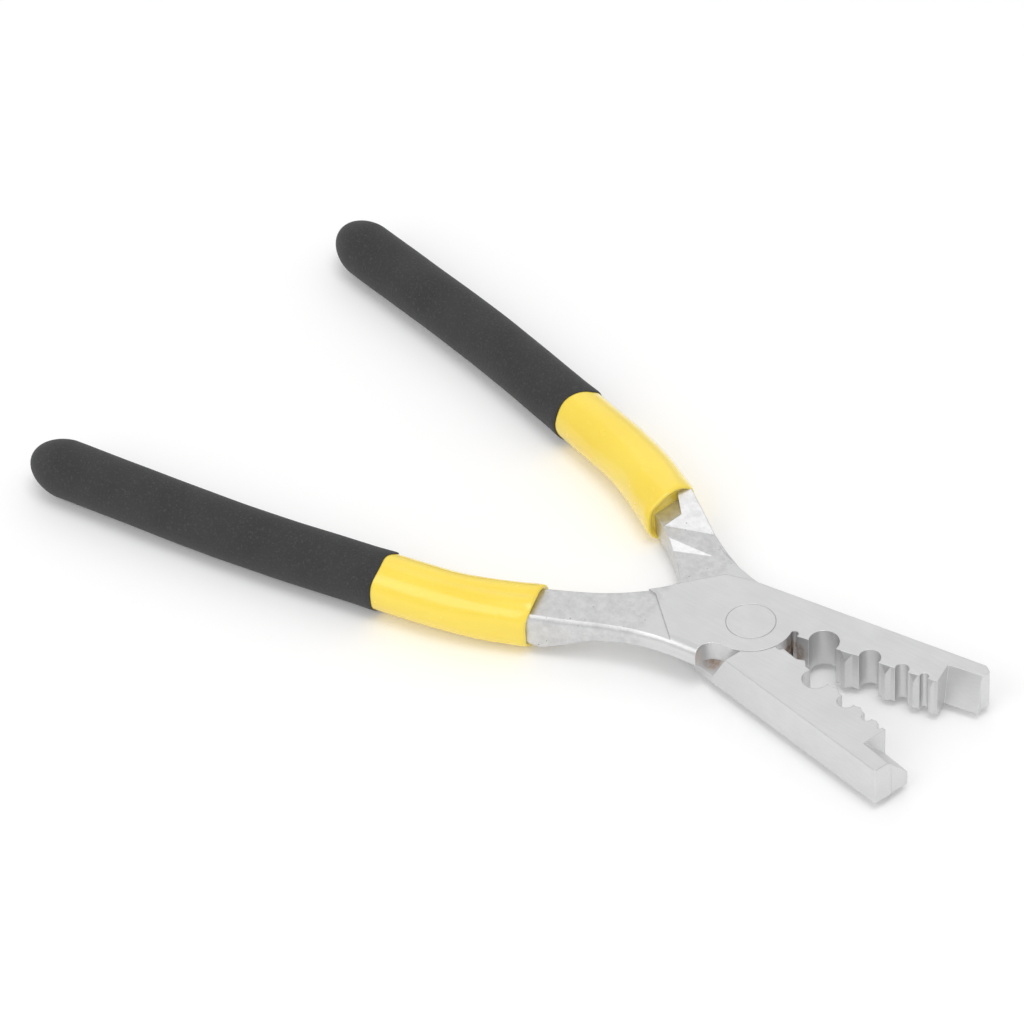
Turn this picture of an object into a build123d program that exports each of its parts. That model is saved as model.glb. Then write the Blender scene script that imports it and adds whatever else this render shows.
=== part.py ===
from build123d import *
import os

# Hand crimping pliers for wire end sleeves: two forged levers in a riveted lap joint.
# Each lever is drawn with the pliers closed: the pivot is the Z axis, the jaws point
# along +X and the closed jaws meet on the XZ plane. The lever's own jaw is on the +Y
# side and its handle on the -Y side. Z = 0 is the plane where the two lap halves meet,
# and the lever's lap half lies above it.

# Driving dimensions, in millimetres and degrees
THICKNESS = 8.0            # jaws and joint, face to face
HALF = THICKNESS / 2
REST_HALF_ANGLE = 11.75    # each lever, away from closed
LAP_GAP = 0.02             # from the meeting plane to each lap face
OVER = 1.0                 # how far a cutting tool runs past the face that it cuts

# Pivot
RIVET_HEAD_R = 4.42
RIVET_SHANK_R = 3.5
RIVET_HEAD_DEPTH = 1.4
RIVET_FIT = 0.04           # radial clearance in the levers
BOSS_R = 7.65              # round end of a lap half, about the pivot
BOSS_POCKET_R = 7.75       # recess for it in the other lever's jaw

# Jaws
TIP_START = 35.7           # where the dies end and the slim tip begins
TIP_FACE_Y = 4.3           # start of the tip's slanted inner corner, behind the closed plane
DIE_STATIONS = [13.8, 18.45, 22.7, 26.05, 28.9, 31.3, 33.15, 34.5]
DIE_RADII = [2.72, 2.4, 1.92, 1.55, 1.22, 0.95, 0.8, 0.5]
DIE_DEPTH_RATIO = 0.3      # cavity centre behind the land, as a part of its radius
RIDGE_WIDTH_RATIO = 0.3    # ridge half width, as a part of the facing cavity's radius
RIDGE_HEIGHT_RATIO = 0.28
RIDGE_CHAMFER = 1.75       # height over which a ridge fades out at the upper face
INNER_NOTCH_X = 8.3        # small relief notch beside the boss
INNER_NOTCH_R = 0.72
SHOULDER_X = 4.6           # start of full thickness on the jaw's outer side, at the lower face
SHOULDER_SLOPE = 0.55      # the shoulder leans back by this much per unit of height
EDGE_BREAK = 0.12
LAP_BEVEL_WIDTH = 2.6      # bevel on the lap face's outer edge, beside the shoulder
LAP_BEVEL_DEPTH = 2.3

# Neck and tang
NECK_TOP = 3.6             # the forged neck lies a little below the ground face
NECK_EDGE_R = 1.9          # rounded upper outer edge of the neck
PLATE_EDGE = 0.6           # bevel on the lap plate's lower outer edge

# Three planes shape the neck's underside, each through three points: the short ramp
# where the lap face ends, the gentle fall behind it and the steeper fall to the grip
RAMP = [(-26.8, -4.0, 0), (-20.7, -8.6, 0), (-27.9, -5.6, -0.95)]
GENTLE_FALL = [(-20.7, -8.6, 0), (-24.5, -12.8, 0), (-27.9, -5.6, -0.95)]
STEEP_FALL = [(-24.5, -12.8, 0), (-35.4, -14.9, -3.8), (-30.0, -8.0, -0.95)]

# Floor of the low step on the neck's underside, beside the grip
STEP_FLOOR = [(-31.7, -10.3, -1.7), (-31.9, -6.5, -1.2), (-36.9, -9.1, -1.05)]
TANG_R = 4.3
TANG_END = -134.0

# Grips
SLEEVE_R = 5.4
GRIP_R = 5.58
LAYER_GAP = 0.01           # between the layers of one handle
SLEEVE_SETBACK = 1.2       # the inner sleeve stops this far inside the outer grip
NOSE_LENGTH = 7.6

# What differs between the two levers
UPPER = {
    "first_die": 0, "land": 0.0, "jaw_end": 42.8, "outer_root": 9.7, "outer_tip": 7.3,
    "corner": 1.1, "inner_corner": 0.8, "rear": [(-95.0, -15.4), (-146.0, -12.6)],
    "sleeve_front": -36.6, "grip_front": -65.4, "grip_end": -142.6,
}
LOWER = {
    "first_die": 1, "land": 0.3, "jaw_end": 42.0, "outer_root": 10.2, "outer_tip": 8.2,
    "corner": 0.2, "inner_corner": 0.2, "rear": [(-95.0, -16.0), (-146.0, -14.6)],
    "sleeve_front": -34.8, "grip_front": -67.0, "grip_end": -141.4,
}
HANDLE_START = [(-27.0, -8.4), (-49.0, -14.4)]
HANDLE_RADII = [62.0, 420.0]

# Inner side of each tip as (depth behind the die line, height), from the upper face down
UPPER_TIP = [(4.65, HALF), (3.1, -HALF)]
LOWER_TIP = [(0.7, HALF), (0.7, 1.12), (5.3, -HALF)]


def slab(face, low, high):
    """A plan face extruded between two heights."""
    return extrude(Plane.XY.offset(low) * face, amount=high - low)


def polygon(*points):
    """A filled polygon."""
    return make_face(Polyline(*points, close=True))


def handle_line(side):
    """Centre line of the handle, from the neck to past its rear end."""
    return FilletPolyline(*HANDLE_START, *side["rear"], radius=HANDLE_RADII)


def handle_rod(side, radius, rear, front):
    """A round rod along the handle, between two X positions."""
    line = handle_line(side)
    section = Plane(origin=line @ 0, z_dir=line % 0) * Circle(radius)
    keep = Pos((rear + front) / 2, 0, 0) * Box(front - rear, 60.0, 60.0)
    return sweep(section, path=line) & keep


def nose(side, radius, end_x):
    """A solid that leaves a handle layer whole, except for rounding its rear end."""
    line = handle_line(side)
    lead = line % 1
    tip = line @ 1 - lead * abs((line @ 1).X - end_x)
    far = 140.0
    curve = Spline(
        (1.3, 0), (3.3, 1.6), (4.75, 4.2), (radius + 0.02, NOSE_LENGTH),
        tangents=[(0.8, 0.25), (0.05, 1.0)],
    )
    rest = Polyline(
        (radius + 0.02, NOSE_LENGTH), (far, NOSE_LENGTH), (far, far), (0, far), (0, 0), (1.3, 0),
    )
    shape = revolve(Plane.XZ * make_face([curve, rest]), axis=Axis.Z)
    return Plane(origin=tip, z_dir=lead * -1) * shape


def handle_layer(side, radius, end_x, front):
    """One coat on the handle, rounded at its rear end."""
    return handle_rod(side, radius, end_x, front) & nose(side, radius, end_x)


def jaw_blank(side):
    """Jaw before its dies are cut, with its outer edges broken."""
    end, corner, land = side["jaw_end"], side["corner"], side["land"]
    inner_corner = side["inner_corner"]
    outline = polygon(
        (0, land), (end - inner_corner, land), (end - inner_corner, TIP_FACE_Y),
        (end, TIP_FACE_Y + 1.5 * inner_corner),
        (end, side["outer_tip"] - corner), (end - corner, side["outer_tip"]),
        (-4.0, side["outer_root"]), (-9.4, 9.0), (0, 0),
    )
    blank = slab(outline, -HALF, HALF)
    outer_edges = [
        edge for edge in blank.edges()
        if abs(edge.center().Z) > HALF - 0.01 and edge.center().Y > 6.0 and edge.center().X > 0
    ]
    return chamfer(outer_edges, EDGE_BREAK)


def cut_dies(jaw, dies, land):
    """Round cavities across the jaw, open towards the other jaw."""
    for x, radius in dies:
        jaw -= Pos(x, land + radius * DIE_DEPTH_RATIO, 0) * Cylinder(radius, 3 * THICKNESS)
    return jaw


def ridge(x, facing_radius, land):
    """A V ridge that enters the facing cavity, faded out at the upper face."""
    half_width = 0.45 + facing_radius * RIDGE_WIDTH_RATIO
    peak = land - 0.1 - facing_radius * RIDGE_HEIGHT_RATIO
    root = land + 0.3
    profile = polygon(
        (x - half_width, root), (x - half_width, land), (x, peak),
        (x + half_width, land), (x + half_width, root),
    )
    bar = slab(profile, -HALF, HALF)
    fade = polygon(
        (land, HALF), (peak, HALF - RIDGE_CHAMFER), (peak - OVER, HALF - RIDGE_CHAMFER),
        (peak - OVER, HALF + OVER), (land, HALF + OVER),
    )
    return bar - extrude(Plane.YZ.offset(x - 3.0) * fade, amount=6.0)


def tip_cut(profile, land):
    """Material taken off the tip's inner side, given its profile across the jaw."""
    top_y, bottom_y = profile[0][0], profile[-1][0]
    section = polygon(
        (land - 2.0, HALF + OVER), (top_y, HALF + OVER), *profile,
        (bottom_y, -HALF - OVER), (land - 2.0, -HALF - OVER),
    )
    return extrude(Plane.YZ.offset(TIP_START) * section, amount=20.0)


def behind_shoulder(low, high):
    """Everything on the handle side of the leaning shoulder, between two heights."""
    far = 60.0
    low_x = SHOULDER_X - SHOULDER_SLOPE * (low + HALF)
    high_x = SHOULDER_X - SHOULDER_SLOPE * (high + HALF)
    outline = polygon((-far, low), (low_x, low), (high_x, high), (-far, high))
    return extrude(Plane.XZ * outline, amount=far, both=True)


def lap_bevel(side):
    """Bevel on the lap face's outer edge, from the shoulder back along the jaw."""
    outer = side["outer_root"]
    section = polygon(
        (outer - LAP_BEVEL_WIDTH, 0), (outer + OVER, 0),
        (outer + OVER, LAP_BEVEL_DEPTH * (1 + OVER / LAP_BEVEL_WIDTH)),
    )
    bar = extrude(Plane.YZ.offset(-12.0) * section, amount=12.0 + SHOULDER_X)
    return bar & behind_shoulder(0, HALF + OVER)


def neck_outline():
    """Neck and lap plate, seen from above, from the boss to the handle."""
    inner = Spline(
        (-16.4, 2.9), (-19.4, 0.2), (-26.0, -3.8), (-40.0, -8.6),
        tangents=[(-0.62, -0.78), (-0.95, -0.3)],
    )
    across = Line((-40.0, -8.6), (-40.0, -16.4))
    outer = Spline(
        (-40.0, -16.4), (-27.0, -13.1), (-19.0, -11.1), (-12.0, -10.6), (-5.4, -11.1),
        tangents=[(0.95, 0.25), (1.0, -0.1)],
    )
    relief = ThreePointArc((-5.4, -10.5), (-4.52, -8.38), (-2.4, -7.5))
    rest = Polyline(
        (-2.4, -7.5), (0, -7.5), (4.0, 0), (-4.0, 9.0), (-9.4, 9.0), (-12.7, 6.2), (-16.4, 2.9)
    )
    return make_face([inner, across, outer, Line((-5.4, -11.1), (-5.4, -10.5)), relief, rest])


def neck_envelope(side):
    """Rounded long edges of the neck, growing rounder towards the handle."""
    line = handle_line(side)
    lead = line % 0
    front = Plane(origin=line @ 0 - lead * 14.0, x_dir=(0, 0, 1), z_dir=lead)
    back = Plane(origin=line @ 0 + lead * 12.5, x_dir=(0, 0, 1), z_dir=lead)
    return loft([front * RectangleRounded(9.4, 19.0, 0.9), back * RectangleRounded(8.8, 8.6, 3.2)])


def plate(low):
    """The neck's outline from a height up to the ground face, its upper outer edge rounded."""
    blank = slab(neck_outline(), low, HALF)
    return fillet(outer_edges(blank, HALF), NECK_EDGE_R)


def outer_edges(blank, height):
    """The long outer edge of the neck, at a height."""
    return [
        edge for edge in blank.edges()
        if abs(edge.center().Z - height) < 0.01 and edge.center().Y < -10.8 and edge.length > 10.0
    ]


def above(corners):
    """Everything above the plane through three points."""
    first, second, third = [Vector(*corner) for corner in corners]
    normal = (second - first).cross(third - first)
    if normal.Z < 0:
        normal = normal * -1
    depth = 100.0
    return Plane(origin=first, z_dir=normal) * Pos(0, 0, depth / 2) * Box(2 * depth, 2 * depth, depth)


def forged_relief():
    """The thin layer ground off the joint but not off the neck, above NECK_TOP."""
    area = polygon((-18.5, -0.6), (-9.4, -11.6), (-60.0, -40.0), (-60.0, 10.0))
    return slab(area, NECK_TOP, HALF + OVER)


def grip_step():
    """A low step on the neck's underside, on its inner side beside the grip."""
    area = polygon((-31.7, -10.3), (-31.9, -5.0), (-42.0, -5.0), (-42.0, -15.5), (-36.5, -13.1))
    return slab(area, -2 * HALF, 0) - above(STEP_FLOOR)


def neck(side):
    """Lap plate and neck: half thickness at the joint, deeper towards the grip."""
    lap = plate(LAP_GAP)
    lap = chamfer(outer_edges(lap, LAP_GAP), PLATE_EDGE)
    root = plate(-HALF - OVER) & above(RAMP) & (above(GENTLE_FALL) + above(STEEP_FALL))
    whole = lap + root - forged_relief() - grip_step()
    joint_side = Pos(-6.0, 0, 0) * Box(22.0, 40.0, 20.0)
    return (whole & neck_envelope(side)) + (whole & joint_side)


def rivet_hole():
    """Countersunk clearance hole for the rivet, through the lap half."""
    shank = Cylinder(RIVET_SHANK_R + RIVET_FIT, 3 * THICKNESS)
    sink = Cone(RIVET_SHANK_R + RIVET_FIT, RIVET_HEAD_R + RIVET_FIT, RIVET_HEAD_DEPTH)
    return shank + Pos(0, 0, HALF - RIVET_HEAD_DEPTH / 2) * sink


def jaw(side, tip):
    """Jaw with its dies, ridges and tip, cut back below the lap face for the other lever."""
    dies = list(zip(DIE_STATIONS, DIE_RADII))
    own = dies[side["first_die"]::2]
    facing = dies[1 - side["first_die"]::2]
    body = cut_dies(jaw_blank(side), own, side["land"])
    for x, radius in facing:
        body += ridge(x, radius, side["land"])
    body -= tip_cut(tip, side["land"])
    body -= Pos(INNER_NOTCH_X, 0.35, 0) * Cylinder(INNER_NOTCH_R, 3 * THICKNESS)
    body -= behind_shoulder(-HALF - OVER, LAP_GAP)
    body -= slab(Circle(BOSS_POCKET_R), -HALF - OVER, LAP_GAP)
    return body - lap_bevel(side)


def lever(side, tip):
    """One forged lever."""
    boss = slab(Circle(BOSS_R), LAP_GAP, HALF)
    tang = handle_rod(side, TANG_R, TANG_END, side["sleeve_front"] - 1.5)
    return jaw(side, tip) + boss + neck(side) + tang - rivet_hole()


def inner_sleeve(side, body):
    """The long smooth coat, directly on the tang."""
    end = side["grip_end"] + SLEEVE_SETBACK
    return handle_layer(side, SLEEVE_R, end, side["sleeve_front"]) - body


def outer_grip(side):
    """The shorter coat over the rear of the inner sleeve."""
    end = side["grip_end"]
    core = handle_layer(side, SLEEVE_R + LAYER_GAP, end + SLEEVE_SETBACK - LAYER_GAP, side["sleeve_front"])
    return handle_layer(side, GRIP_R, end, side["grip_front"]) - core


def pivot_rivet():
    """Rivet with a flush cone head at each end."""
    head = Pos(0, 0, HALF - RIVET_HEAD_DEPTH / 2) * Cone(RIVET_SHANK_R, RIVET_HEAD_R, RIVET_HEAD_DEPTH)
    return Cylinder(RIVET_SHANK_R, THICKNESS) + head + Rot(180, 0, 0) * head


def place_upper(shape):
    """Turned open, with the ground upper face at Z = 0."""
    return Pos(0, 0, -HALF) * Rot(0, 0, REST_HALF_ANGLE) * shape


def place_lower(shape):
    """Turned over about X, then turned open the other way."""
    return Pos(0, 0, -HALF) * Rot(0, 0, -REST_HALF_ANGLE) * Rot(180, 0, 0) * shape


def save(name, shape):
    """Write one sub-part as a STEP file."""
    shape.label = name
    export_step(shape, f"parts/{name}.step")


os.makedirs("parts", exist_ok=True)

for prefix, side, tip, place in (
    ("upper", UPPER, UPPER_TIP, place_upper),
    ("lower", LOWER, LOWER_TIP, place_lower),
):
    body = lever(side, tip)
    save(f"{prefix}_lever", place(body))
    save(f"{prefix}_inner_sleeve", place(inner_sleeve(side, body)))
    save(f"{prefix}_outer_grip", place(outer_grip(side)))
save("pivot_rivet", Pos(0, 0, -HALF) * pivot_rivet())
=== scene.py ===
import bmesh
import bpy
import math
from mathutils import Matrix, Vector


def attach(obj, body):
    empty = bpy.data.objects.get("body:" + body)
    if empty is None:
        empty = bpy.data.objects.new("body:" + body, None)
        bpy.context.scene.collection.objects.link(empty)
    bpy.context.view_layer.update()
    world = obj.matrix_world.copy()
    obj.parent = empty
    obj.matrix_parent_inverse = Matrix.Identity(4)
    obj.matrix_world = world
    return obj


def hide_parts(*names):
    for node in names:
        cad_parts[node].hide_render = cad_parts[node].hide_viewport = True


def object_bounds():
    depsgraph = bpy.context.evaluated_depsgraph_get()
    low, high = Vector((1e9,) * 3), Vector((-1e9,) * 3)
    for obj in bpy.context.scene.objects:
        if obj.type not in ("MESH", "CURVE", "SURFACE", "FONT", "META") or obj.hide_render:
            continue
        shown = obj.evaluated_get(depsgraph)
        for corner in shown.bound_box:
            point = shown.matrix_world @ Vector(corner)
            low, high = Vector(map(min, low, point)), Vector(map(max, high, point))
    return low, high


# Crimping pliers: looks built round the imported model. Metres, +Z up, the pivot on the Z axis,
# the ground upper face of the joint at Z = 0 and the jaws towards +X.

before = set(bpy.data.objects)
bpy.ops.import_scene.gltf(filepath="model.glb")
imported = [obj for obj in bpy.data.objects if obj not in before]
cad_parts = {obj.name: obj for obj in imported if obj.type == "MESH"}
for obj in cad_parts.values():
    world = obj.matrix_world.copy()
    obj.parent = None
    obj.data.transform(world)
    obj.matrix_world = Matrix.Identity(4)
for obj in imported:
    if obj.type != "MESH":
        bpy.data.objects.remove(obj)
cad_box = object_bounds()

# Shared dimensions, in metres and radians
REST_HALF_ANGLE = math.radians(11.75)      # each lever's turn away from closed
THICKNESS = 0.008                          # jaws and joint, face to face
MID_HEIGHT = -THICKNESS / 2

# Camera: from the front right and above, with a long lens
CAMERA_AZIMUTH = 43.1
CAMERA_ELEVATION = 41.6
CAMERA_ROLL = -4.2
CAMERA_DISTANCE = 0.8018
CAMERA_AIM = Vector((-0.0553, 0.00006, MID_HEIGHT))
CAMERA_LENS = 154.7                        # mm, on a 36 mm sensor

FLOOR_HEIGHT = cad_box[0][2]

# Steel
METALLIC = 0.88
GRAIN_STRETCH = (160.0, 2600.0, 2600.0)    # long fine grinding lines along the jaw

# Handles, in millimetres in each lever's closed frame, as the CAD has them
HANDLE_START = [(-27.0, -8.4), (-49.0, -14.4)]
HANDLE_RADII = [62.0, 420.0]
SLEEVE_R = 5.4
GRIP_R = 5.58
GRIP_UNEVENNESS = 0.045                    # the grip's mean radius is this much below GRIP_R
HIDDEN_INSET = 0.12                        # the sleeve is this much slimmer under the grip
SLEEVE_SETBACK = 1.2                       # the sleeve stops this far inside the grip
NOSE_LENGTH = 7.6
RING_STEPS = 96                            # points round each ring of a handle layer
UPPER = {
    "rear": [(-95.0, -15.4), (-146.0, -12.6)],
    "sleeve_front": -36.6, "grip_front": -65.4, "grip_end": -142.6,
    "squareness": 0.7, "phase": 0.4, "lip_tilt": -0.22,
    # angle round the handle, start and end behind the lip, angular half width, depth
    "creases": [
        (92.0, 1.5, 31.0, 9.0, 0.26), (-60.0, 1.0, 24.0, 14.0, 0.10), (-48.0, -6.0, 9.0, 26.0, 0.9),
    ],
    "tongue_at": 52.0,
}
LOWER = {
    "rear": [(-95.0, -16.0), (-146.0, -14.6)],
    "sleeve_front": -34.8, "grip_front": -67.0, "grip_end": -141.4,
    "squareness": 0.7, "phase": 2.3, "lip_tilt": -0.22,
    "creases": [
        (-88.0, 3.0, 26.0, 12.0, 0.12), (120.0, 2.0, 18.0, 10.0, 0.10), (-48.0, -6.0, 9.0, 26.0, 0.9),
    ],
    "tongue_at": -125.0,
}


# ---------------------------------------------------------------- shader helpers

class Shader:
    """One procedural material, with short calls for adding and joining nodes."""

    def __init__(self, name):
        self.material = bpy.data.materials.new(name)
        self.material.use_nodes = True
        self.tree = self.material.node_tree
        self.tree.nodes.clear()
        self.output = self.tree.nodes.new("ShaderNodeOutputMaterial")
        self.surface = self.tree.nodes.new("ShaderNodeBsdfPrincipled")
        self.join(self.surface.outputs["BSDF"], self.output.inputs["Surface"])
        self.place = self.tree.nodes.new("ShaderNodeTexCoord").outputs["Object"]

    def join(self, source, target):
        self.tree.links.new(source, target)

    def set(self, name, value):
        self.surface.inputs[name].default_value = value

    def feed(self, name, source):
        self.join(source, self.surface.inputs[name])

    def math(self, operation, first, second=0.0, clamp=False):
        node = self.tree.nodes.new("ShaderNodeMath")
        node.operation = operation
        node.use_clamp = clamp
        for socket, value in zip(node.inputs, (first, second)):
            if isinstance(value, (int, float)):
                socket.default_value = value
            else:
                self.join(value, socket)
        return node.outputs[0]

    def turned(self, angle, stretch=(1, 1, 1)):
        """Object position turned about Z and stretched, as texture coordinates."""
        node = self.tree.nodes.new("ShaderNodeMapping")
        node.inputs["Rotation"].default_value = (0, 0, angle)
        node.inputs["Scale"].default_value = stretch
        self.join(self.place, node.inputs["Vector"])
        return node.outputs[0]

    def noise(self, scale, detail=3.0, roughness=0.5, vector=None, distortion=0.0):
        node = self.tree.nodes.new("ShaderNodeTexNoise")
        node.inputs["Scale"].default_value = scale
        node.inputs["Detail"].default_value = detail
        node.inputs["Roughness"].default_value = roughness
        node.inputs["Distortion"].default_value = distortion
        self.join(vector or self.place, node.inputs["Vector"])
        return node.outputs["Fac"]

    def cells(self, scale, vector=None):
        node = self.tree.nodes.new("ShaderNodeTexVoronoi")
        node.inputs["Scale"].default_value = scale
        self.join(vector or self.place, node.inputs["Vector"])
        return node.outputs["Distance"]

    def span(self, source, low, high, to_low=0.0, to_high=1.0, smooth=False):
        """Maps low..high to to_low..to_high, clamped."""
        node = self.tree.nodes.new("ShaderNodeMapRange")
        node.interpolation_type = "SMOOTHSTEP" if smooth else "LINEAR"
        self.join(source, node.inputs[0])
        for socket, value in zip(node.inputs[1:5], (low, high, to_low, to_high)):
            if isinstance(value, (int, float)):
                socket.default_value = value
            else:
                self.join(value, socket)
        return node.outputs[0]

    def colour_mix(self, factor, first, second):
        node = self.tree.nodes.new("ShaderNodeMix")
        node.data_type = "RGBA"
        if isinstance(factor, (int, float)):
            node.inputs[0].default_value = factor
        else:
            self.join(factor, node.inputs[0])
        for socket, value in zip((node.inputs[6], node.inputs[7]), (first, second)):
            if isinstance(value, tuple):
                socket.default_value = (*value, 1.0)
            else:
                self.join(value, socket)
        return node.outputs[2]

    def axis(self, index, source=None):
        node = self.tree.nodes.new("ShaderNodeSeparateXYZ")
        self.join(source or self.place, node.inputs[0])
        return node.outputs[index]

    def distance(self, point):
        """Distance from a point in the shared frame."""
        node = self.tree.nodes.new("ShaderNodeVectorMath")
        node.operation = "DISTANCE"
        self.join(self.place, node.inputs[0])
        node.inputs[1].default_value = point
        return node.outputs["Value"]

    def soft_edges(self, radius):
        """Surface direction with sharp edges rounded over."""
        node = self.tree.nodes.new("ShaderNodeBevel")
        node.samples = 6
        node.inputs["Radius"].default_value = radius
        return node.outputs[0]

    def edge_mask(self, soft_normal):
        """1 on the edges that soft_edges rounds, 0 on flat faces."""
        plain = self.tree.nodes.new("ShaderNodeNewGeometry").outputs["Normal"]
        node = self.tree.nodes.new("ShaderNodeVectorMath")
        node.operation = "DOT_PRODUCT"
        self.join(soft_normal, node.inputs[0])
        self.join(plain, node.inputs[1])
        return self.span(node.outputs["Value"], 0.80, 0.97, 1.0, 0.0)

    def bump(self, height, strength, distance, normal=None):
        node = self.tree.nodes.new("ShaderNodeBump")
        node.inputs["Strength"].default_value = strength
        node.inputs["Distance"].default_value = distance
        self.join(height, node.inputs["Height"])
        if normal is not None:
            self.join(normal, node.inputs["Normal"])
        return node.outputs[0]


# ---------------------------------------------------------------- materials

def lever_steel(name, turn, grease_at):
    """Satin ground jaws and joint, as-forged skin on the neck, grease where the parts rub."""
    s = Shader(name)
    along = s.turned(turn)
    soft_normal = s.soft_edges(0.00022)
    edge = s.edge_mask(soft_normal)

    # 1 on the ground jaws and joint, 0 on the forged neck
    ragged = s.span(s.noise(420.0, 3.0), 0.25, 0.75, -0.0004, 0.0004)
    ground = s.span(s.math("ADD", s.axis(0, along), ragged), -0.0175, -0.0155, smooth=True)
    forged = s.math("SUBTRACT", 1.0, ground)

    grind = s.noise(1.0, 4.0, 0.6, vector=s.turned(turn, GRAIN_STRETCH))
    cloud = s.noise(130.0, 4.0, 0.55)
    scale_skin = s.noise(700.0, 6.0, 0.7)
    pits = s.cells(520.0)
    pit_mask = s.math("MULTIPLY", s.span(pits, 0.04, 0.10, 1.0, 0.0), forged)

    ground_tone = s.colour_mix(s.span(cloud, 0.3, 0.7), (0.68, 0.68, 0.682), (0.73, 0.73, 0.732))
    ground_tone = s.colour_mix(s.span(grind, 0.35, 0.75, 0.0, 0.30), ground_tone, (0.60, 0.60, 0.605))
    forged_tone = s.colour_mix(s.span(scale_skin, 0.34, 0.64), (0.58, 0.58, 0.585), (0.72, 0.72, 0.725))
    forged_tone = s.colour_mix(pit_mask, forged_tone, (0.36, 0.35, 0.34))
    tone = s.colour_mix(ground, forged_tone, ground_tone)
    # Painted highlight, partly edge wear: the rounded edges get a lighter base colour (0.80).
    tone = s.colour_mix(s.math("MULTIPLY", edge, 0.5), tone, (0.80, 0.80, 0.80))

    # grease and a little rust, in the relief gap and round the boss
    stain = None
    for point, reach in grease_at:
        spot = s.span(s.distance(point), reach * 0.45, reach, 1.0, 0.0, smooth=True)
        stain = spot if stain is None else s.math("MAXIMUM", stain, spot)
    stain = s.math("MULTIPLY", stain, s.span(s.noise(900.0, 4.0), 0.34, 0.62, 0.15, 0.85))
    tone = s.colour_mix(stain, tone, (0.40, 0.27, 0.19))
    s.feed("Base Color", tone)

    s.set("Metallic", METALLIC)
    rough_ground = s.span(grind, 0.2, 0.8, 0.30, 0.40)
    rough_forged = s.span(scale_skin, 0.2, 0.8, 0.32, 0.48)
    rough_ground = s.math("MULTIPLY", rough_ground, ground)
    rough_forged = s.math("MULTIPLY", rough_forged, forged)
    s.feed("Roughness", s.math("ADD", rough_ground, rough_forged))

    height = s.math("ADD", s.math("MULTIPLY", grind, s.math("MULTIPLY", ground, 0.10)),
                    s.math("MULTIPLY", scale_skin, s.math("MULTIPLY", forged, 0.9)))
    height = s.math("SUBTRACT", height, s.math("MULTIPLY", pit_mask, 0.6))
    s.feed("Normal", s.bump(height, 0.30, 0.0001, normal=soft_normal))
    return s.material


def rivet_steel():
    """Rivet head, ground flush with the joint, with its own grain."""
    s = Shader("rivet_steel")
    cloud = s.noise(210.0, 4.0, 0.6)
    grind = s.noise(1.0, 4.0, 0.6, vector=s.turned(0.5, GRAIN_STRETCH))
    tone = s.colour_mix(s.span(cloud, 0.3, 0.7), (0.68, 0.68, 0.682), (0.735, 0.735, 0.737))
    s.feed("Base Color", s.colour_mix(s.span(grind, 0.35, 0.75, 0.0, 0.25), tone, (0.60, 0.60, 0.605)))
    s.set("Metallic", METALLIC)
    s.feed("Roughness", s.span(grind, 0.2, 0.8, 0.30, 0.40))
    s.feed("Normal", s.bump(grind, 0.04, 0.0001, normal=s.soft_edges(0.0002)))
    return s.material


def yellow_plastic():
    """Glossy dipped plastic, a little translucent, with a soft ripple from dipping."""
    s = Shader("yellow_dip")
    cloud = s.noise(70.0, 3.0)
    tone = s.colour_mix(s.span(cloud, 0.3, 0.7), (0.97, 0.71, 0.065), (1.0, 0.76, 0.085))
    specks = s.span(s.cells(330.0), 0.03, 0.06, 0.35, 0.0)
    s.feed("Base Color", s.colour_mix(specks, tone, (0.80, 0.48, 0.03)))
    s.set("Subsurface Weight", 0.18)
    s.set("Subsurface Radius", (0.0022, 0.0014, 0.0004))
    s.set("Subsurface Scale", 0.5)
    s.feed("Roughness", s.span(s.noise(500.0, 3.0), 0.3, 0.7, 0.20, 0.28))
    s.set("Coat Weight", 0.55)
    s.set("Coat Roughness", 0.12)
    s.feed("Normal", s.bump(s.noise(150.0, 2.0, 0.4), 0.10, 0.0004))
    return s.material


def black_dip():
    """Matte textured dip: fine closed cells, a few larger pores with painted shade in them, painted
    highlights on the high spots.
    """
    s = Shader("black_dip")
    grain = s.noise(2100.0, 5.0, 0.7)
    pores = s.cells(1250.0)
    broad = s.noise(110.0, 3.0)
    base = s.colour_mix(s.span(broad, 0.3, 0.7), (0.027, 0.027, 0.028), (0.037, 0.037, 0.038))
    # Painted highlight: the high spots of the grain get a lighter base colour.
    base = s.colour_mix(s.span(grain, 0.52, 0.72), base, (0.070, 0.070, 0.071))
    # Painted shade: the pore hollows get a darker base colour.
    base = s.colour_mix(s.span(pores, 0.05, 0.20, 0.65, 0.0), base, (0.020, 0.020, 0.020))
    s.feed("Base Color", base)
    s.feed("Roughness", s.span(grain, 0.2, 0.8, 0.70, 0.92))
    s.set("Specular IOR Level", 0.4)
    s.set("Sheen Weight", 0.06)
    s.set("Sheen Roughness", 0.6)
    height = s.math("ADD", grain, s.math("MULTIPLY", s.span(pores, 0.0, 0.3), 0.8))
    s.feed("Normal", s.bump(height, 0.55, 0.00014))
    return s.material


def dress(node, material):
    """Gives a CAD node its material."""
    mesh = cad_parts[node].data
    mesh.materials.clear()
    mesh.materials.append(material)


# ---------------------------------------------------------------- handle layers

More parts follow.
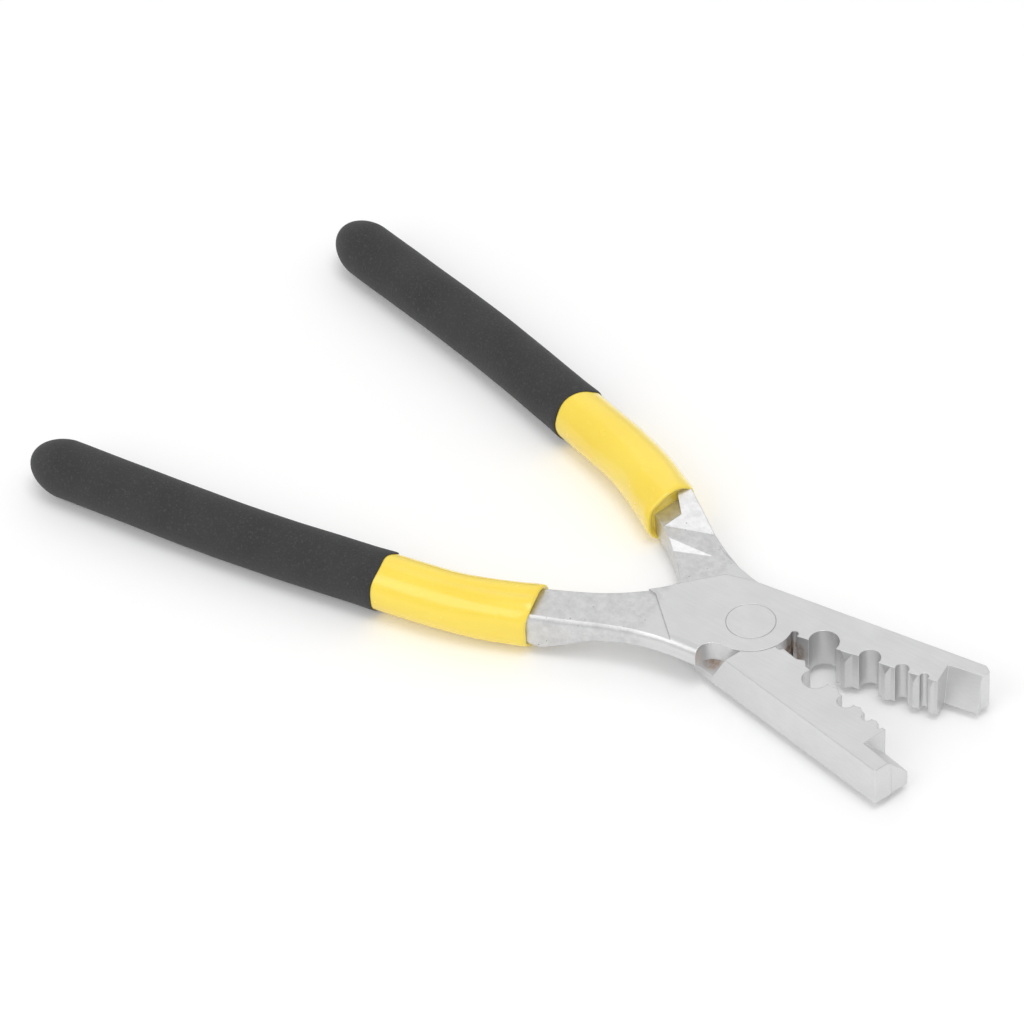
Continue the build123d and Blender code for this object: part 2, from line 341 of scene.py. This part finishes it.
class HandleLine:
    """Centre line of a handle with the pliers closed: straight runs joined by arcs, in mm."""

    def __init__(self, points, radii):
        points = [Vector(p) for p in points]
        self.parts = []
        start = points[0]
        for before, corner, after, radius in zip(points, points[1:], points[2:], radii):
            arrive = (corner - before).normalized()
            leave = (after - corner).normalized()
            bend = arrive.angle_signed(leave) * -1
            cut = radius * math.tan(abs(bend) / 2)
            arc_start = corner - arrive * cut
            self.parts.append((start, arrive, (arc_start - start).length, 0.0))
            self.parts.append((arc_start, arrive, radius * abs(bend), math.copysign(1 / radius, bend)))
            start = corner + leave * cut
        last = (points[-1] - start).normalized()
        self.parts.append((start, last, (points[-1] - start).length, 0.0))

    def at(self, distance):
        """Point and direction, a distance along the line."""
        for start, direction, length, curvature in self.parts:
            if distance <= length:
                break
            distance -= length
        else:
            distance += length
        if curvature == 0.0:
            return start + direction * distance, direction
        angle = distance * curvature
        left = Vector((-direction.y, direction.x))
        centre = start + left / curvature
        return centre + turned_2d(start - centre, angle), turned_2d(direction, angle)

    def distance_at(self, x):
        """Distance along the line to where it passes x. The line runs towards -X."""
        low, high = 0.0, 160.0
        for _ in range(40):
            middle = (low + high) / 2
            if self.at(middle)[0].x > x:
                low = middle
            else:
                high = middle
        return low


def turned_2d(v, angle):
    """A plan vector turned about Z."""
    c, s = math.cos(angle), math.sin(angle)
    return Vector((v.x * c - v.y * s, v.x * s + v.y * c))


def to_row(point, side):
    """From a lever's own closed frame in mm to the shared frame in metres."""
    x, y, z = point
    angle = REST_HALF_ANGLE
    if side == "lower":
        y, z, angle = -y, -z, -angle
    c, s = math.cos(angle), math.sin(angle)
    return Vector((x * c - y * s, x * s + y * c, z)) * 0.001 + Vector((0, 0, MID_HEIGHT))


def fade(value, start, end):
    """1 before start, 0 after end, smooth between."""
    t = min(max((value - start) / (end - start), 0.0), 1.0)
    return 1.0 - t * t * (3 - 2 * t)


def ripple(distance, angle, phase):
    """Slow unevenness of a dipped layer, about +-1."""
    return (math.sin(distance * 0.21 + 2 * angle + phase)
            + 0.7 * math.sin(distance * 0.13 - 3 * angle + 2.1 * phase)
            + 0.5 * math.sin(distance * 0.47 + angle + 0.7 * phase)) / 2.2


def tube_mesh(name, side, line, rings, radius_at, shift_at):
    """A skin over rings of (distance along the line, radius offset), closed at both ends."""
    mesh = bpy.data.meshes.new(name)
    shell = bmesh.new()
    previous = None
    for distance, offset in rings:
        ring = []
        for step in range(RING_STEPS):
            angle = 2 * math.pi * step / RING_STEPS
            centre, direction = line.at(distance + shift_at(distance, angle))
            radius = max(radius_at(distance, angle) + offset, 0.02)
            outward = Vector((direction.y, -direction.x)) * math.cos(angle) * radius
            height = math.sin(angle) * min(radius, GRIP_R)
            point = (centre.x + outward.x, centre.y + outward.y, height)
            ring.append(shell.verts.new(to_row(point, side)))
        if previous is None:
            shell.faces.new(ring)
        else:
            for i in range(RING_STEPS):
                j = (i + 1) % RING_STEPS
                shell.faces.new((previous[i], previous[j], ring[j], ring[i]))
        previous = ring
    shell.faces.new(previous)
    bmesh.ops.recalc_face_normals(shell, faces=shell.faces)
    for face in shell.faces:
        face.smooth = True
    shell.to_mesh(mesh)
    shell.free()
    piece = bpy.data.objects.new(name, mesh)
    bpy.context.scene.collection.objects.link(piece)
    return piece


def run(start, end, spacing):
    """Evenly spaced stations from start to end."""
    count = max(int(abs(end - start) / spacing), 1)
    return [start + (end - start) * i / count for i in range(count + 1)]


def nose_radius(from_end, radius):
    """Outer radius near the rear end: a rounded cone with a small flat nub."""
    if from_end >= NOSE_LENGTH:
        return radius
    part = max(1 - from_end / NOSE_LENGTH, 0.0)
    return radius * math.sqrt(max(1 - part ** 1.7, 0.0))


def add_sleeve(side, shape, material):
    """The glossy inner sleeve, with a rolled front lip and the neck's flats showing through."""
    line = HandleLine(HANDLE_START + shape["rear"], HANDLE_RADII)
    front = line.distance_at(shape["sleeve_front"])
    grip_front = line.distance_at(shape["grip_front"])
    end = line.distance_at(shape["grip_end"]) - SLEEVE_SETBACK
    lip = [
        (0.75, -1.5), (0.70, -1.2), (0.5, -0.95), (0.12, -0.65), (0.0, -0.4), (0.05, -0.2),
        (0.25, -0.04), (0.6, 0.08), (1.1, 0.15), (1.8, 0.15), (2.6, 0.10), (3.6, 0.04), (4.6, 0.0),
    ]
    rings = [(front + d, offset) for d, offset in lip]
    rings += [(d, 0.0) for d in run(front + 5.2, grip_front + 2.0, 0.6)]
    rings += [(d, -HIDDEN_INSET) for d in run(grip_front + 3.0, end - 8.0, 4.0)]
    rings += [(d, -HIDDEN_INSET) for d in run(end - 7.4, end - 0.3, 0.5)]

    def radius_at(distance, angle):
        from_front = distance - front
        square = fade(from_front, 1.0, 17.0)
        power = 2.0 + shape["squareness"] * square
        width, height = SLEEVE_R - 0.10 * square, SLEEVE_R - 0.16 * square
        across = abs(math.cos(angle) / width) ** power
        upright = abs(math.sin(angle) / height) ** power
        flat = (across + upright) ** (-1 / power)
        if distance > end - NOSE_LENGTH:
            flat = min(flat, nose_radius(end - distance, SLEEVE_R))
        under_grip = fade(distance - grip_front, -0.5, 1.5)
        flat += 0.035 * ripple(distance, angle, shape["phase"]) * under_grip
        for at_angle, begin, finish, width_angle, depth in shape["creases"]:
            away = (angle - math.radians(at_angle) + math.pi) % (2 * math.pi) - math.pi
            along = fade(begin - from_front, 0.0, 5.0) * fade(from_front, finish - 7.0, finish)
            flat -= depth * along * math.exp(-(away / math.radians(width_angle)) ** 2)
        return flat

    def shift_at(distance, angle):
        from_front = distance - front
        tilt = shape["lip_tilt"] * math.cos(angle) * SLEEVE_R
        phase = shape["phase"]
        wave = 0.22 * math.sin(2 * angle + phase) + 0.10 * math.sin(5 * angle + 2 * phase)
        return (tilt + wave) * fade(from_front, 1.5, 12.0)

    piece = tube_mesh(side + "_yellow_sleeve", side, line, rings, radius_at, shift_at)
    finish_layer(piece, side, side + "_inner_sleeve", material)


def add_grip(side, shape, material):
    """The matte outer grip: a proud front lip, an uneven dipped surface and a nub at the end."""
    line = HandleLine(HANDLE_START + shape["rear"], HANDLE_RADII)
    front = line.distance_at(shape["grip_front"])
    end = line.distance_at(shape["grip_end"])
    wall = GRIP_R - SLEEVE_R - 0.02
    rings = [(d, -wall) for d in run(end - 1.3, front + 1.0, 3.0)]
    rings[0] = (end - 1.3, -GRIP_R)
    lip = [
        (0.35, -wall), (0.08, -wall * 0.8), (0.0, -wall * 0.4), (0.02, 0.0), (0.12, 0.08),
        (0.35, 0.14), (0.7, 0.17), (1.3, 0.15), (2.2, 0.09), (3.4, 0.03), (4.6, 0.0),
    ]
    rings += [(front + d, offset) for d, offset in lip]
    rings += [(d, 0.0) for d in run(front + 5.2, end - NOSE_LENGTH - 0.5, 0.8)]
    rings += [(d, 0.0) for d in run(end - NOSE_LENGTH, end - 1.0, 0.35)]
    rings += [(end - 0.7, 0.0), (end - 0.45, 0.0), (end - 0.25, -0.04)]
    rings += [(end - 0.1, -0.25), (end - 0.02, -0.55)]

    def radius_at(distance, angle):
        from_end = max(end - distance, 0.22)
        radius = nose_radius(from_end, GRIP_R - GRIP_UNEVENNESS)
        uneven = GRIP_UNEVENNESS * ripple(distance, angle, shape["phase"] + 1.7)
        uneven *= fade(from_end * -1, -9.0, -3.0)
        return radius + uneven * (1.0 - fade(distance - front, 2.0, 8.0))

    def shift_at(distance, angle):
        phase = shape["phase"]
        wave = 0.45 + 0.22 * math.sin(2 * angle + phase + 0.6)
        wave += 0.14 * math.sin(5 * angle + 3 * phase)
        away = (angle - math.radians(shape["tongue_at"]) + math.pi) % (2 * math.pi) - math.pi
        tongue = 1.1 * math.exp(-(away / 0.38) ** 2)
        return (wave - tongue) * fade(distance - front, 1.0, 9.0)

    piece = tube_mesh(side + "_black_grip", side, line, rings, radius_at, shift_at)
    finish_layer(piece, side, side + "_outer_grip", material)


def finish_layer(piece, side, node, material):
    """Puts a handle layer on its lever's body, in place of its CAD node."""
    piece.data.materials.append(material)
    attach(piece, side)
    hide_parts(node)


# ---------------------------------------------------------------- stage

def add_floor():
    """A plain pale floor at the lowest point of the pliers."""
    bpy.ops.mesh.primitive_plane_add(size=6.0, location=(0, 0, FLOOR_HEIGHT))
    floor = bpy.context.object
    floor.name = "floor"
    s = Shader("floor_white")
    s.feed("Base Color", s.colour_mix(s.noise(4.0), (0.90, 0.90, 0.90), (0.92, 0.92, 0.92)))
    s.set("Roughness", 0.9)
    s.set("Emission Color", (1.0, 1.0, 1.0, 1.0))
    s.set("Emission Strength", 0.10)
    floor.data.materials.append(s.material)


def add_light(name, position, size, power):
    data = bpy.data.lights.new(name, "AREA")
    data.size = size
    data.energy = power
    lamp = bpy.data.objects.new(name, data)
    lamp.location = position
    lamp.rotation_euler = (Vector((0, 0, 0)) - Vector(position)).to_track_quat("-Z", "Y").to_euler()
    bpy.context.scene.collection.objects.link(lamp)


def add_lights():
    world = bpy.data.worlds.new("studio")
    world.use_nodes = True
    world.node_tree.nodes["Background"].inputs[0].default_value = (1.0, 1.0, 1.0, 1.0)
    world.node_tree.nodes["Background"].inputs[1].default_value = 0.66
    bpy.context.scene.world = world
    add_light("back", (-0.61, 0.66, 0.80), 0.9, 0.8)
    add_light("top", (0.20, -0.10, 1.20), 0.6, 4.0)
    add_light("front", (-0.15, -0.88, 0.80), 0.7, 2.3)


def add_camera():
    data = bpy.data.cameras.new("camera")
    data.lens = CAMERA_LENS
    data.sensor_width = 36.0
    data.clip_start = 0.01
    camera = bpy.data.objects.new("camera", data)
    azimuth = math.radians(CAMERA_AZIMUTH)
    elevation = math.radians(CAMERA_ELEVATION)
    back = Vector((
        math.sin(azimuth) * math.cos(elevation),
        -math.cos(azimuth) * math.cos(elevation),
        math.sin(elevation),
    ))
    turn = back.to_track_quat("Z", "Y").to_matrix().to_4x4()
    roll = Matrix.Rotation(math.radians(CAMERA_ROLL), 4, "Z")
    camera.matrix_world = Matrix.Translation(CAMERA_AIM + back * CAMERA_DISTANCE) @ turn @ roll
    bpy.context.scene.collection.objects.link(camera)
    bpy.context.scene.camera = camera


def set_look():
    settings = bpy.context.scene.view_settings
    settings.view_transform = "Standard"
    settings.look = "None"


# ---------------------------------------------------------------- build

add_camera()
add_floor()
add_lights()
set_look()

# Where grease and rust gather: (point in the shared frame, reach), in metres
RELIEF_GAP = ((-0.0024, -0.0080, -0.0043), 0.0027)
BOSS_NOTCH = ((0.0085, 0.0012, -0.004), 0.0030)

dress("upper_lever", lever_steel("upper_steel", -REST_HALF_ANGLE, [BOSS_NOTCH]))
dress("lower_lever", lever_steel("lower_steel", REST_HALF_ANGLE, [RELIEF_GAP, BOSS_NOTCH]))
dress("pivot_rivet", rivet_steel())
yellow = yellow_plastic()
black = black_dip()
for side, shape in (("upper", UPPER), ("lower", LOWER)):
    add_sleeve(side, shape, yellow)
    add_grip(side, shape, black)
